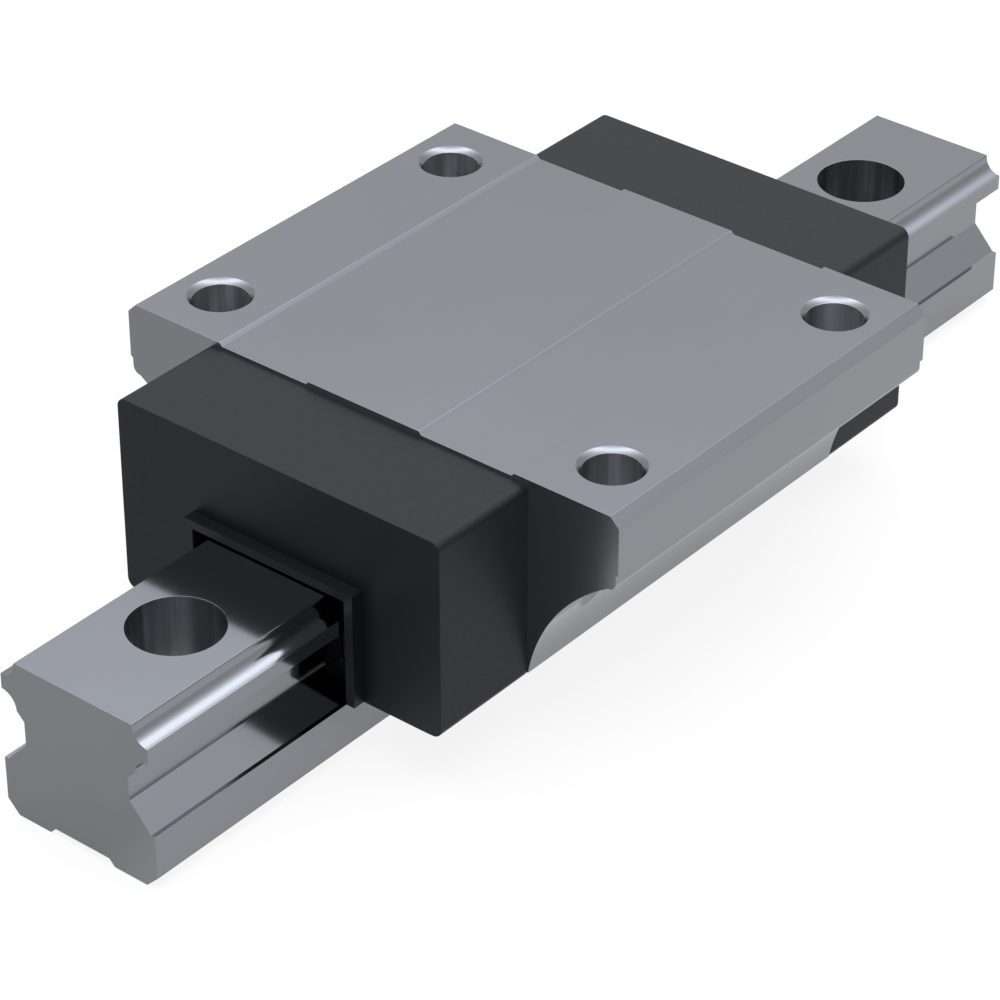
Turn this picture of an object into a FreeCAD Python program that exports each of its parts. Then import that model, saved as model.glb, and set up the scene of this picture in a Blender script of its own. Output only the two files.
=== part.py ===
import FreeCAD, Part
import itertools
import math
import os
import Sketcher

# A flanged linear guide: a ground rail with four ball rows, and the carriage that rolls along it.
# The rail lies along X with its feet on Z = 0, and the origin is under its middle.
# Lengths are millimetres and angles are degrees.

SIZES = {
    # Balls and their rows
    "ball_size": 4.7625,
    "groove_conformity": 0.546,
    "ball_clearance": 0.02,
    "ball_spacing_gap": 0.1,
    "contact_angle": 45.0,
    "row_spacing": 7.65,
    "turn_diameter": 9.6,
    "upper_turn_angle": 45.0,
    "lower_turn_angle": -15.0,
    "passage_clearance": 0.22,
    # Rail, in section, from its feet up
    "rail_width": 28.0,
    "foot_bevel": 2.05,
    "relief_width": 12.0,
    "relief_depth": 1.0,
    "relief_run": 1.0,
    "base_height": 9.0,
    "shoulder_ledge": 0.7,
    "flare_height": 4.0,
    "neck_height": 3.8,
    "neck_inset": 1.3,
    "head_inset": 0.5,
    "head_edge_drop": 0.25,
    "head_edge_break": 0.15,
    # Rail, along its length
    "rail_length": 200.0,
    "screw_pitch": 80.0,
    "least_end_distance": 14.0,
    "screw_bore": 9.0,
    "counterbore_width": 14.0,
    "counterbore_depth": 12.0,
    # Carriage block
    "carriage_station": -5.2,
    "block_length": 72.0,
    "carriage_rise": 16.0,
    "flange_bevel": 1.5,
    "flange_upper_land": 7.5,
    "flange_step_depth": 0.42,
    "flange_step_height": 0.3,
    "flange_lower_land": 1.2,
    "flange_corner_radius": 1.3,
    "skirt_sweep_radius": 29.4,
    "skirt_overhang": 0.18,
    "skirt_rise": 1.0,
    "centre_pad_width": 20.2,
    "side_pad_spacing": 54.0,
    "pad_relief_depth": 0.5,
    "pad_relief_run": 0.5,
    "ceiling_rise": 0.73,
    "crown_recess_inset": 1.3,
    "throat_gap": 1.2,
    "throat_lip_height": 1.0,
    # Carriage mounting holes
    "bolt_spacing_along": 52.0,
    "bolt_spacing_across": 72.0,
    "bolt_edge_distance": 9.0,
    "tapping_bore": 8.5,
    "bolt_mouth": 10.0,
    # Stack on each end of the block, from the block outwards
    "plate_thickness": 10.2,
    "plate_side_thickness": 2.14,
    "felt_thickness": 4.0,
    "backing_thickness": 0.8,
    "wiper_thickness": 1.25,
    "cap_front_thickness": 2.35,
    "cap_wall_thickness": 2.0,
    "cap_floor_thickness": 1.0,
    "cap_corner_radius": 1.5,
    "cap_drop": 1.0,
    "cap_base_gap": 0.05,
    "cap_opening_gap": 0.5,
    "cap_crown_gap": 0.3,
    "rim_side_thickness": 1.5,
    "rim_top_thickness": 1.35,
    "rim_depth": 2.0,
    "snap_rise": 0.4,
    "snap_width": 2.0,
    "snap_span": 12.0,
    "inner_fit": 0.1,
    # Clearances to the rail
    "plate_rail_gap": 0.4,
    "wiper_rail_gap": 0.2,
    "backing_rail_gap": 1.2,
    "felt_rail_gap": 0.6,
    "retainer_rail_gap": 0.4,
    "seal_rail_gap": 0.35,
    # Ball retainers, spools and bottom seals
    "retainer_ball_gap": 0.12,
    "retainer_edge_thickness": 0.5,
    "retainer_wrap": 20.0,
    "retainer_foot_gap": 0.4,
    "tongue_length": 1.0,
    "spool_fit": 0.05,
    "seal_thickness": 0.6,
    "seal_width": 9.0,
    "seal_key_width": 2.0,
    "seal_key_rise": 1.2,
    "seal_key_inset": 4.0,
    # Return plate screws
    "plate_screw_size": 3.0,
    "plate_screw_head": 5.5,
    "plate_screw_head_height": 3.0,
    "plate_screw_depth": 7.0,
    "plate_screw_inset": 3.5,
    "plate_screw_socket": 2.5,
    "plate_screw_socket_depth": 1.5,
    "thread_clearance": 0.05,
    "screw_clearance": 0.25,
}

doc = FreeCAD.newDocument("linear_guide")
sheet = doc.addObject("Spreadsheet::Sheet", "sizes")
for row, (name, number) in enumerate(SIZES.items(), start=1):
    sheet.set(f"A{row}", name)
    sheet.set(f"B{row}", str(number))
    sheet.setAlias(f"B{row}", name)
doc.recompute()


class Size:
    """A number as it is now, with the expression that ties it to the sheet."""

    def __init__(self, value, text):
        self.value = float(value)
        self.text = text

    def __add__(self, other):
        other = as_size(other)
        return Size(self.value + other.value, f"({self.text} + {other.text})")

    def __sub__(self, other):
        other = as_size(other)
        return Size(self.value - other.value, f"({self.text} - {other.text})")

    def __mul__(self, other):
        other = as_size(other)
        return Size(self.value * other.value, f"({self.text} * {other.text})")

    def __truediv__(self, other):
        other = as_size(other)
        return Size(self.value / other.value, f"({self.text} / {other.text})")

    def __neg__(self):
        return Size(-self.value, f"(0 - {self.text})")


def as_size(number):
    return number if isinstance(number, Size) else Size(number, str(number))


def root(size):
    return Size(math.sqrt(size.value), f"sqrt({size.text})")


def cosine(angle):
    return Size(math.cos(math.radians(angle.value)), f"cos({angle.text} * 1 deg)")


def sine(angle):
    return Size(math.sin(math.radians(angle.value)), f"sin({angle.text} * 1 deg)")


def whole(number):
    """The number of whole steps, forgiving of a rounding error."""
    return Size(math.floor(number.value + 1e-9), f"floor({number.text} + 0.000000001)")


def size(name):
    return Size(sheet.get(name), f"sizes.{name}")


def return_up(row_height, angle):
    """Height of a row's return passage, one turn diameter away from the row."""
    return row_height + size("turn_diameter") * sine(angle)


# Rail section. The grooves are hollows of a little more than half the ball's size, over and under the
# head's lips, and the neck starts where the lower groove runs out.
ball_radius = size("ball_size") / 2
raceway_radius = size("ball_size") * size("groove_conformity")
rail_length = size("rail_length")
rail_half = size("rail_width") / 2
head_half = rail_half - size("head_inset")
groove_floor = head_half - raceway_radius
neck_half = groove_floor - size("neck_inset")
shoulder_half = rail_half - size("shoulder_ledge")
base_height = size("base_height")
flare_top = base_height + size("flare_height")
lower_row = flare_top + size("neck_height") + size("neck_inset")
upper_row = lower_row + size("row_spacing")
rail_height = upper_row + size("head_edge_drop")

# A ball touches the rail's groove and the block's groove at the contact angle, so its centre and the
# block groove's centre each step inwards by the slack between ball and groove.
slack = raceway_radius - ball_radius - size("ball_clearance")
slack_across = slack * cosine(size("contact_angle"))
slack_up = slack * sine(size("contact_angle"))
ball_across = head_half - slack_across
upper_ball = upper_row - slack_up
lower_ball = lower_row + slack_up
groove_across = head_half - slack_across * 2
upper_groove = upper_row - slack_up * 2
lower_groove = lower_row + slack_up * 2
race_wall = groove_across + raceway_radius
race_top = upper_groove + raceway_radius
ceiling = race_top + size("ceiling_rise")
turn_radius = size("turn_diameter") / 2
passage_radius = ball_radius + size("passage_clearance")
hug_radius = ball_radius + size("retainer_ball_gap")

# Each end of the block carries a stack inside a cap, which is wide enough for the lower ball turns.
inner_fit = size("inner_fit")
block_length = size("block_length")
block_end = block_length / 2
top = rail_height + size("carriage_rise")
plate_front = block_end + size("plate_thickness")
felt_front = plate_front + size("felt_thickness")
backing_front = felt_front + size("backing_thickness")
wiper_front = backing_front + size("wiper_thickness")
cap_front = wiper_front + size("cap_front_thickness")
cap_wall = size("cap_wall_thickness")
turn_reach = turn_radius * 2 + passage_radius
insert_half = ball_across + turn_reach * cosine(size("lower_turn_angle")) + size("plate_side_thickness")
cap_inside = insert_half + inner_fit
cap_half = cap_inside + cap_wall
cap_top = top - size("cap_drop")
cap_bottom = base_height + size("cap_base_gap")
insert_top = cap_top - cap_wall - inner_fit
insert_bottom = cap_bottom + size("cap_floor_thickness") + inner_fit
opening_half = head_half + size("cap_opening_gap")
opening_top = rail_height + size("cap_crown_gap")
snap_middle = (insert_bottom + insert_top) / 2
tongue_length = size("tongue_length")

skirt_half = cap_half + size("skirt_overhang")
skirt_bottom = base_height + size("skirt_rise")
throat_half = rail_half + size("throat_gap")
seal_key_middle = throat_half + size("seal_key_inset") + size("seal_key_width") / 2

# The two screws of a return plate stand halfway between the turns, near the plate's sides.
screw_radius = size("plate_screw_size") / 2
screw_across = insert_half - size("plate_screw_inset")
screw_up = (
    return_up(upper_ball, size("upper_turn_angle")) + return_up(lower_ball, size("lower_turn_angle"))
) / 2
SCREW_PLACES = ((screw_across, screw_up), (-screw_across, screw_up))

ZERO = as_size(0)
CURVE = "curve"
ROUND = "round"
HALF_TURN = 180
FRONT, REAR = ("front", HALF_TURN), ("rear", 0)
SIDES = (("left", 1), ("right", -1))


# Sketch and feature helpers


def plane_of(body, role):
    return next(plane for plane in body.Origin.OriginFeatures if plane.Role == role)


def new_body(label, turn=None):
    """A body that stands on the rail, or on the carriage's station when it is given a turn about Z."""
    body = doc.addObject("PartDesign::Body", label)
    body.Label = label
    if turn is not None:
        station = size("carriage_station")
        spin = FreeCAD.Rotation(FreeCAD.Vector(0, 0, 1), turn)
        body.Placement = FreeCAD.Placement(FreeCAD.Vector(station.value, 0, 0), spin)
        body.setExpression("Placement.Base.x", station.text)
    return body


def new_sketch(body, name, role, offset=None):
    sketch = body.newObject("Sketcher::SketchObject", f"{body.Name}_{name}")
    sketch.AttachmentSupport = (plane_of(body, role), [""])
    sketch.MapMode = "FlatFace"
    if offset is not None:
        sketch.AttachmentOffset = FreeCAD.Placement(
            FreeCAD.Vector(0, 0, offset.value), FreeCAD.Rotation()
        )
        sketch.setExpression("AttachmentOffset.Base.z", offset.text)
    return sketch


def bind(item, name, value):
    """Sets a property and ties it to the sheet."""
    setattr(item, name, value.value)
    item.setExpression(name, value.text)


def constrain(sketch, kind, *references, value):
    index = sketch.addConstraint(Sketcher.Constraint(kind, *references, value.value))
    sketch.setExpression(f"Constraints[{index}]", value.text)


def pin(sketch, edge, end, across, up):
    """Holds one end of an edge at a place measured from the sketch's origin."""
    constrain(sketch, "DistanceX", -1, 1, edge, end, value=across)
    constrain(sketch, "DistanceY", -1, 1, edge, end, value=up)


def arc_between(start, end, radius):
    """An arc that turns left from start to end and is under half a circle."""
    chord = end - start
    half = chord.Length / 2
    left = FreeCAD.Vector(-chord.y, chord.x, 0).normalize()
    centre = (start + end) * 0.5 + left * math.sqrt(max(radius ** 2 - half ** 2, 0))
    first = math.atan2(start.y - centre.y, start.x - centre.x)
    last = math.atan2(end.y - centre.y, end.x - centre.x)
    circle = Part.Circle(centre, FreeCAD.Vector(0, 0, 1), radius)
    return Part.ArcOfCircle(circle, first, last)


def draw(sketch, corners):
    """Draws a closed outline whose corners are (across, up).

    Where the edge after a corner bends, the corner also gives CURVE for a bend to the left or ROUND for
    one to the right, and the radius.
    """
    places = [FreeCAD.Vector(corner[0].value, corner[1].value, 0) for corner in corners]
    ends = []
    for number, corner in enumerate(corners):
        start = places[number]
        end = places[(number + 1) % len(corners)]
        if len(corner) == 2:
            edge = sketch.addGeometry(Part.LineSegment(start, end), False)
            ends.append((edge, 1, 2))
        else:
            bend, radius = corner[2], corner[3]
            left = bend == CURVE
            arc = arc_between(start, end, radius.value) if left else arc_between(end, start, radius.value)
            edge = sketch.addGeometry(arc, False)
            ends.append((edge, 1, 2) if left else (edge, 2, 1))
            constrain(sketch, "Radius", edge, value=radius)
    for number, corner in enumerate(corners):
        edge, first, last = ends[number]
        following, start, _ = ends[(number + 1) % len(corners)]
        sketch.addConstraint(Sketcher.Constraint("Coincident", edge, last, following, start))
        pin(sketch, edge, first, corner[0], corner[1])


def both_sides(right):
    """Closes a right-hand outline with its mirror image. Curves keep their hand."""
    left = []
    for number in range(len(right) - 1, -1, -1):
        across, up = right[number][0], right[number][1]
        before = right[number - 1] if number else None
        bend = tuple(before[2:]) if before and len(before) > 2 else ()
        left.append((-across, up) + bend)
    return right + left


def mirrored(corners):
    """The outline on the other side of the rail, drawn the other way round."""
    return [
        (-corners[number][0], corners[number][1]) + tuple(corners[number - 1][2:])
        for number in range(len(corners) - 1, -1, -1)
    ]


def rectangle(low_across, low_up, high_across, high_up):
    return [
        (low_across, low_up),
        (high_across, low_up),
        (high_across, high_up),
        (low_across, high_up),
    ]


def rounded(half, low, high, radius):
    """A rectangle about the middle plane with four rounded corners, drawn anticlockwise."""
    return [
        (half - radius, low, CURVE, radius),
        (half, low + radius),
        (half, high - radius, CURVE, radius),
        (half - radius, high),
        (radius - half, high, CURVE, radius),
        (-half, high - radius),
        (-half, low + radius, CURVE, radius),
        (radius - half, low),
    ]


def pad(body, sketch, length, both=False, backwards=False):
    feature = body.newObject("PartDesign::Pad", f"{sketch.Name}_pad")
    feature.Profile = sketch
    feature.Midplane = both
    feature.Reversed = backwards
    bind(feature, "Length", length)
    finish_feature(body, feature, grows=True)
    return feature


def pocket(body, sketch, depth=None, backwards=False, both=False):
    """Cuts to a depth, or right through both ways where no depth is given."""
    feature = body.newObject("PartDesign::Pocket", f"{sketch.Name}_cut")
    feature.Profile = sketch
    feature.Reversed = backwards
    feature.Midplane = both
    if depth is None:
        feature.Type = "ThroughAll"
        feature.Midplane = True
    else:
        bind(feature, "Length", depth)
    finish_feature(body, feature, grows=False)
    return feature


def turned(body, sketch, cutting):
    """Turns a sketch half way round its own construction line, as material or as a cut."""
    kind = "Groove" if cutting else "Revolution"
    feature = body.newObject(f"PartDesign::{kind}", f"{sketch.Name}_turned")
    feature.Profile = sketch
    feature.ReferenceAxis = (sketch, ["Axis0"])
    feature.Angle = HALF_TURN
    finish_feature(body, feature, grows=not cutting)
    return feature


volumes = {}


def finish_feature(body, feature, grows):
    """Recomputes, and stops if the feature failed or changed the volume the wrong way."""
    before = volumes.get(body.Name, 0.0)
    doc.recompute()
    if "Invalid" in feature.State or "Error" in feature.State:
        raise RuntimeError(f"{feature.Name} failed: {feature.getStatusString()}")
    after = feature.Shape.Volume
    if after == before or (after > before) != grows:
        raise RuntimeError(f"{feature.Name} took the volume from {before:.1f} to {after:.1f}")
    volumes[body.Name] = after
    body.Tip = feature


def mirror_features(body, features, name, grows):
    feature = body.newObject("PartDesign::Mirrored", f"{body.Name}_{name}")
    feature.Originals = features
    feature.MirrorPlane = (plane_of(body, "XZ_Plane"), [""])
    body.Tip = feature
    finish_feature(body, feature, grows)
    return feature


def axis_line(sketch, start, end):
    """Adds the construction line that a turned feature spins about."""
    first = FreeCAD.Vector(start[0].value, start[1].value, 0)
    last = FreeCAD.Vector(end[0].value, end[1].value, 0)
    edge = sketch.addGeometry(Part.LineSegment(first, last), True)
    pin(sketch, edge, 1, start[0], start[1])
    pin(sketch, edge, 2, end[0], end[1])


def circle(sketch, across, up, radius):
    centre = FreeCAD.Vector(across.value, up.value, 0)
    edge = sketch.addGeometry(Part.Circle(centre, FreeCAD.Vector(0, 0, 1), radius.value), False)
    constrain(sketch, "Radius", edge, value=radius)
    pin(sketch, edge, 3, across, up)


# Shared outlines


def head_outline(gap):
    """Right half of the rail's head and neck from the top down, grown outwards by the gap."""
    groove = raceway_radius - gap
    upper_edge = (head_half - groove, upper_row, CURVE, groove)
    lower_edge = (head_half, lower_row + groove, CURVE, groove)
    inner = head_half - groove
    lip = [(head_half, upper_row - groove)]
    if gap.value > 0:
        lip += [(head_half + gap, upper_row - groove), (head_half + gap, lower_row + groove)]
    return [
        (groove_floor - size("head_edge_break") + gap / 3, rail_height + gap),
        upper_edge,
        *lip,
        lower_edge,
        (inner, lower_row),
        (neck_half + gap, lower_row - (inner - neck_half - gap)),
        (neck_half + gap, flare_top + gap / 2),
    ]


def follower_outline(gap):
    """A closed outline that clears the rail by the gap and runs out below it."""
    spread = (shoulder_half - neck_half) / size("flare_height")
    start = flare_top + gap / 2
    foot = shoulder_half + gap
    return both_sides(head_outline(gap) + [
        (foot, start - (foot - neck_half - gap) / spread),
        (foot + gap, start - (foot - neck_half - gap) / spread),
        (foot + gap, ZERO),
    ])


def turn_middle(row_height, angle):
    """The middle of a ball turn, halfway from the loaded row to its return passage."""
    return ball_across + turn_radius * cosine(angle), row_height + turn_radius * sine(angle)


def return_row(row_height, angle):
    return ball_across + size("turn_diameter") * cosine(angle), return_up(row_height, angle)


def turn_sketch(body, name, row_height, angle, section, side=1):
    """A section in the plane of the block's end, laid along the turn, with the axis of the turn."""
    middle_across, middle_up = turn_middle(row_height, angle)
    along_across, along_up = cosine(angle), sine(angle)

    def place(outwards, sideways):
        return (
            (middle_across + along_across * outwards - along_up * sideways) * side,
            middle_up + along_up * outwards + along_across * sideways,
        )

    sketch = new_sketch(body, name, "YZ_Plane", block_end)
    draw(sketch, [place(*corner) for corner in section])
    axis_line(sketch, place(ZERO, passage_radius * side), place(ZERO, -passage_radius * side))
    return sketch


TURNS = (
    ("upper", upper_ball, size("upper_turn_angle")),
    ("lower", lower_ball, size("lower_turn_angle")),
)


# Rail


def build_rail():
    """A ground rail: ball grooves under and over the head lips, and a row of counterbored holes."""
    body = new_body("guide_rail")
    relief_half = size("relief_width") / 2
    section = new_sketch(body, "section", "YZ_Plane")
    bevel = size("foot_bevel")
    foot = [
        (shoulder_half, base_height),
        (rail_half, base_height),
        (rail_half, bevel),
        (rail_half - bevel, ZERO),
        (relief_half, ZERO),
        (relief_half - size("relief_run"), size("relief_depth")),
    ]
    draw(section, both_sides(head_outline(ZERO) + foot))
    pad(body, section, rail_length, both=True)

    # As many holes as the pitch leaves room for, centred on the length
    pitch = size("screw_pitch")
    steps = whole((rail_length - size("least_end_distance") * 2) / pitch)
    row_length = steps * pitch
    counterbore = new_sketch(body, "counterbore", "XY_Plane", rail_height - size("counterbore_depth"))
    circle(counterbore, -row_length / 2, ZERO, size("counterbore_width") / 2)
    bore = new_sketch(body, "bore", "XY_Plane")
    circle(bore, -row_length / 2, ZERO, size("screw_bore") / 2)
    sunk = pocket(body, counterbore, size("counterbore_depth"), backwards=True)
    bored = pocket(body, bore)
    if steps.value > 0:
        pattern = body.newObject("PartDesign::LinearPattern", "screw_holes")
        pattern.Originals = [sunk, bored]
        pattern.Direction = (counterbore, ["H_Axis"])
        bind(pattern, "Length", row_length)
        pattern.Occurrences = int(steps.value) + 1
        pattern.setExpression("Occurrences", (steps + 1).text)
        finish_feature(body, pattern, grows=False)
    return body


# Carriage block


def block_section():
    """Right half of the block: pads, flange, swept skirt, then the channel with its two raceways."""
    pad_half = size("centre_pad_width") / 2
    side_pad = size("side_pad_spacing") / 2
    relief = top - size("pad_relief_depth")
    run = size("pad_relief_run")
    flange_half = size("bolt_spacing_across") / 2 + size("bolt_edge_distance")
    flange_bevel = size("flange_bevel")
    step_top = top - flange_bevel - size("flange_upper_land")
    step_bottom = step_top - size("flange_step_height")
    land = flange_half - size("flange_step_depth")
    corner = size("flange_corner_radius")
    under = step_bottom - size("flange_lower_land") - corner
    mouth = skirt_bottom + size("throat_lip_height")
    keyway_out = seal_key_middle + size("seal_key_width") / 2
    keyway_in = seal_key_middle - size("seal_key_width") / 2
    wing = groove_across - size("crown_recess_inset")
    return [
        (pad_half, top),
        (pad_half + run, relief),
        (side_pad - run, relief),
        (side_pad, top),
        (flange_half - flange_bevel, top),
        (flange_half, top - flange_bevel),
        (flange_half, step_top),
        (land, step_bottom),
        (land, under + corner, ROUND, corner),
        (land - corner, under, CURVE, size("skirt_sweep_radius")),
        (skirt_half, skirt_bottom),
        (keyway_out, skirt_bottom),
        (keyway_out, skirt_bottom + size("seal_key_rise")),
        (keyway_in, skirt_bottom + size("seal_key_rise")),
        (keyway_in, skirt_bottom),
        (throat_half, skirt_bottom),
        (throat_half, mouth),
        (groove_across, mouth + throat_half - groove_across),
        (groove_across, lower_groove - raceway_radius, CURVE, raceway_radius),
        (race_wall, lower_groove),
        (race_wall, upper_groove, CURVE, raceway_radius),
        (groove_across, race_top),
        (wing, race_top),
        (wing - (ceiling - race_top), ceiling),
    ]


def build_block():
    """The hardened steel block with its flange, raceways, return bores and tapped holes."""
    body = new_body("carriage_block", turn=0)
    section = new_sketch(body, "section", "YZ_Plane")
    draw(section, both_sides(block_section()))
    pad(body, section, block_length, both=True)

    returns = new_sketch(body, "return_bores", "YZ_Plane")
    for _, height, angle in TURNS:
        across, up = return_row(height, angle)
        circle(returns, across, up, passage_radius)
        circle(returns, -across, up, passage_radius)
    pocket(body, returns)

    depth = size("plate_screw_depth") + size("screw_clearance")
    for name, face, backwards in (("rear", block_end, False), ("front", -block_end, True)):
        threads = new_sketch(body, f"{name}_threads", "YZ_Plane", face)
        for across, up in SCREW_PLACES:
            circle(threads, across, up, screw_radius)
        pocket(body, threads, depth, backwards)

    along = size("bolt_spacing_along") / 2
    across = size("bolt_spacing_across") / 2
    bores = new_sketch(body, "bolt_bores", "XY_Plane")
    for x in (1, -1):
        for y in (1, -1):
            circle(bores, along * x, across * y, size("tapping_bore") / 2)
    bored = pocket(body, bores)

    mouths = []
    for number, edge in enumerate(bored.Shape.Edges, start=1):
        on_top = edge.BoundBox.ZLength < 1e-6 and abs(edge.BoundBox.ZMax - top.value) < 1e-6
        if on_top and isinstance(edge.Curve, Part.Circle):
            mouths.append(f"Edge{number}")
    chamfer = body.newObject("PartDesign::Chamfer", "bolt_mouths")
    chamfer.Base = (bored, mouths)
    bind(chamfer, "Size", (size("bolt_mouth") - size("tapping_bore")) / 2)
    finish_feature(body, chamfer, grows=False)
    return body


# Ball retainers and bottom seals, which run the length of the block


def on_ball(row_height, across, above):
    """Height of a retainer's hollow face at a distance across, over or under a ball row."""
    offset = across - ball_across
    rise = root(hug_radius * hug_radius - offset * offset)
    return row_height + rise if above else row_height - rise


def crown_outline():
    """The retainer over the rail's top: its edges hug the upper rows and its rib fills the ceiling."""
    base = rail_height + size("retainer_rail_gap")
    wing = groove_across - size("crown_recess_inset") - inner_fit
    lift = base - upper_ball
    inner = ball_across - root(hug_radius * hug_radius - lift * lift)
    rib = ceiling - race_top
    return both_sides([
        (inner, base, ROUND, hug_radius),
        (wing, on_ball(upper_ball, wing, above=True)),
        (wing, race_top - inner_fit),
        (wing - rib, ceiling - inner_fit),
    ])


def side_outline():
    """The retainer beside the rail's lip, hollow above and below where the two rows pass."""
    inner = head_half + size("retainer_rail_gap")
    outer = race_wall - inner_fit
    edge = outer - size("retainer_edge_thickness")
    low = on_ball(lower_ball, edge, above=True)
    high = on_ball(upper_ball, edge, above=False)
    return [
        (inner, on_ball(lower_ball, inner, above=True), ROUND, hug_radius),
        (edge, low),
        (outer, low),
        (outer, high),
        (edge, high, ROUND, hug_radius),
        (inner, on_ball(upper_ball, inner, above=False)),
    ]


def low_outline():
    """The retainer under the lower row, between the rail's neck and the block."""
    gap = size("retainer_rail_gap")
    inner = neck_half + gap
    outer = groove_across - inner_fit
    foot = flare_top + size("retainer_foot_gap")
    wrap = size("retainer_wrap")
    return [
        (inner, foot),
        (outer, foot),
        (outer, on_ball(lower_ball, outer, above=False), ROUND, hug_radius),
        (ball_across - hug_radius * cosine(wrap), lower_ball - hug_radius * sine(wrap)),
        (inner, lower_row - size("neck_inset")),
    ]


def seal_outline():
    """A strip with a key in the block's underside and a lip that stops short of the rail."""
    inner = rail_half + size("seal_rail_gap")
    outer = inner + size("seal_width")
    thickness = size("seal_thickness")
    low = skirt_bottom - thickness
    key_out = seal_key_middle + size("seal_key_width") / 2 - inner_fit
    key_in = seal_key_middle - size("seal_key_width") / 2 + inner_fit
    key_top = skirt_bottom + size("seal_key_rise") - inner_fit
    return [
        (inner, low + thickness / 2),
        (inner + thickness, low),
        (outer, low),
        (outer, skirt_bottom),
        (key_out, skirt_bottom),
        (key_out, key_top),
        (key_in, key_top),
        (key_in, skirt_bottom),
        (inner, skirt_bottom),
    ]


def build_strip(label, outline, length):
    body = new_body(label, turn=0)
    section = new_sketch(body, "section", "YZ_Plane")
    draw(section, outline)
    pad(body, section, length, both=True)
    return body


def build_strips():
    retainer_length = block_length + tongue_length * 2
    strips = [build_strip("top_ball_retainer", crown_outline(), retainer_length)]
    for side, outline, length in (
        ("side_ball_retainer", side_outline(), retainer_length),
        ("lower_ball_retainer", low_outline(), retainer_length),
        ("bottom_seal", seal_outline(), block_length),
    ):
        strips.append(build_strip(f"left_{side}", outline, length))
        strips.append(build_strip(f"right_{side}", mirrored(outline), length))
    return strips


# Ends of the carriage, drawn for the end at +X and turned about Z for the other


def tongue_pockets():
    """Where the ends of the five ball retainers plug into an end plate."""
    wing = groove_across - size("crown_recess_inset")
    edge = race_wall - inner_fit - size("retainer_edge_thickness")
    side = rectangle(
        head_half,
        on_ball(lower_ball, edge, above=True) - inner_fit,
        race_wall,
        on_ball(upper_ball, edge, above=False) + inner_fit,
    )
    low = rectangle(
        neck_half,
        flare_top + size("retainer_foot_gap") - inner_fit,
        groove_across,
        lower_ball - hug_radius * sine(size("retainer_wrap")) + inner_fit,
    )
    crown = rectangle(-wing, rail_height, wing, ceiling)
    return [crown, side, mirrored(side), low, mirrored(low)]


def build_return_plate(end):
    """A moulded plate that scoops the balls off the rail and turns them into the return bores."""
    name, turn = end
    body = new_body(f"{name}_return_plate", turn)
    outline = new_sketch(body, "outline", "YZ_Plane", block_end)
    draw(outline, rounded(insert_half, insert_bottom, insert_top, size("cap_corner_radius")))
    pad(body, outline, size("plate_thickness"))

    opening = new_sketch(body, "opening", "YZ_Plane")
    draw(opening, follower_outline(size("plate_rail_gap")))
    pocket(body, opening)

    tongues = new_sketch(body, "tongue_pockets", "YZ_Plane", block_end)
    for corners in tongue_pockets():
        draw(tongues, corners)
    pocket(body, tongues, tongue_length + inner_fit, backwards=True)

    section = rectangle(ZERO, -passage_radius, turn_radius + passage_radius, passage_radius)
    grooves = []
    for row, height, angle in TURNS:
        sketch = turn_sketch(body, f"{row}_turn", height, angle, section)
        grooves.append(turned(body, sketch, cutting=True))
    mirror_features(body, grooves, "other_turns", grows=False)

    heads = new_sketch(body, "screw_heads", "YZ_Plane", plate_front)
    holes = new_sketch(body, "screw_holes", "YZ_Plane")
    for across, up in SCREW_PLACES:
        circle(heads, across, up, size("plate_screw_head") / 2 + size("screw_clearance"))
        circle(holes, across, up, screw_radius + size("screw_clearance"))
    pocket(body, heads, size("plate_screw_head_height") + size("screw_clearance"))
    pocket(body, holes)

    notches = new_sketch(body, "snap_notches", "XY_Plane", snap_middle)
    depth = size("snap_rise") + inner_fit
    for side in (1, -1):
        draw(notches, snap_rectangle(side, insert_half - depth, insert_half + depth, inner_fit))
    pocket(body, notches, size("snap_span") + inner_fit * 2, both=True)
    return body


def snap_rectangle(side, near, far, fit):
    """A snap ridge or its notch, in plan, half way along the return plate."""
    middle = block_end + size("plate_thickness") / 2
    half = size("snap_width") / 2 + fit
    if side < 0:
        near, far = -far, -near
    return rectangle(middle - half, near, middle + half, far)


def build_spools(end, side, sign):
    """The two half spools that form the inside of the ball turns on one side of an end."""
    name, turn = end
    body = new_body(f"{name}_{side}_spools", turn)
    fit = size("spool_fit")
    section = rectangle(ZERO, fit - passage_radius, turn_radius - passage_radius, passage_radius - fit)
    for row, height, angle in TURNS:
        sketch = turn_sketch(body, row, height, angle, section, sign)
        turned(body, sketch, cutting=False)
    return body


def build_plate_screws(end):
    """The socket-head screws that hold a return plate to the block."""
    name, turn = end
    body = new_body(f"{name}_plate_screws", turn)
    head_height = size("plate_screw_head_height")
    seat = plate_front - head_height - size("screw_clearance")
    heads = new_sketch(body, "heads", "YZ_Plane", seat)
    shanks = new_sketch(body, "shanks", "YZ_Plane", seat)
    sockets = new_sketch(body, "sockets", "YZ_Plane", seat + head_height)
    corner_radius = size("plate_screw_socket") / math.sqrt(3)
    for across, up in SCREW_PLACES:
        circle(heads, across, up, size("plate_screw_head") / 2)
        circle(shanks, across, up, screw_radius - size("thread_clearance"))
        corners = []
        for sixth in range(6):
            angle = math.radians(60 * sixth)
            corners.append((
                across + corner_radius * round(math.cos(angle), 9),
                up + corner_radius * round(math.sin(angle), 9),
            ))
        draw(sockets, corners)
    pad(body, heads, head_height)
    pad(body, shanks, seat - block_end + size("plate_screw_depth"), backwards=True)
    pocket(body, sockets, size("plate_screw_socket_depth"))
    return body


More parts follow.
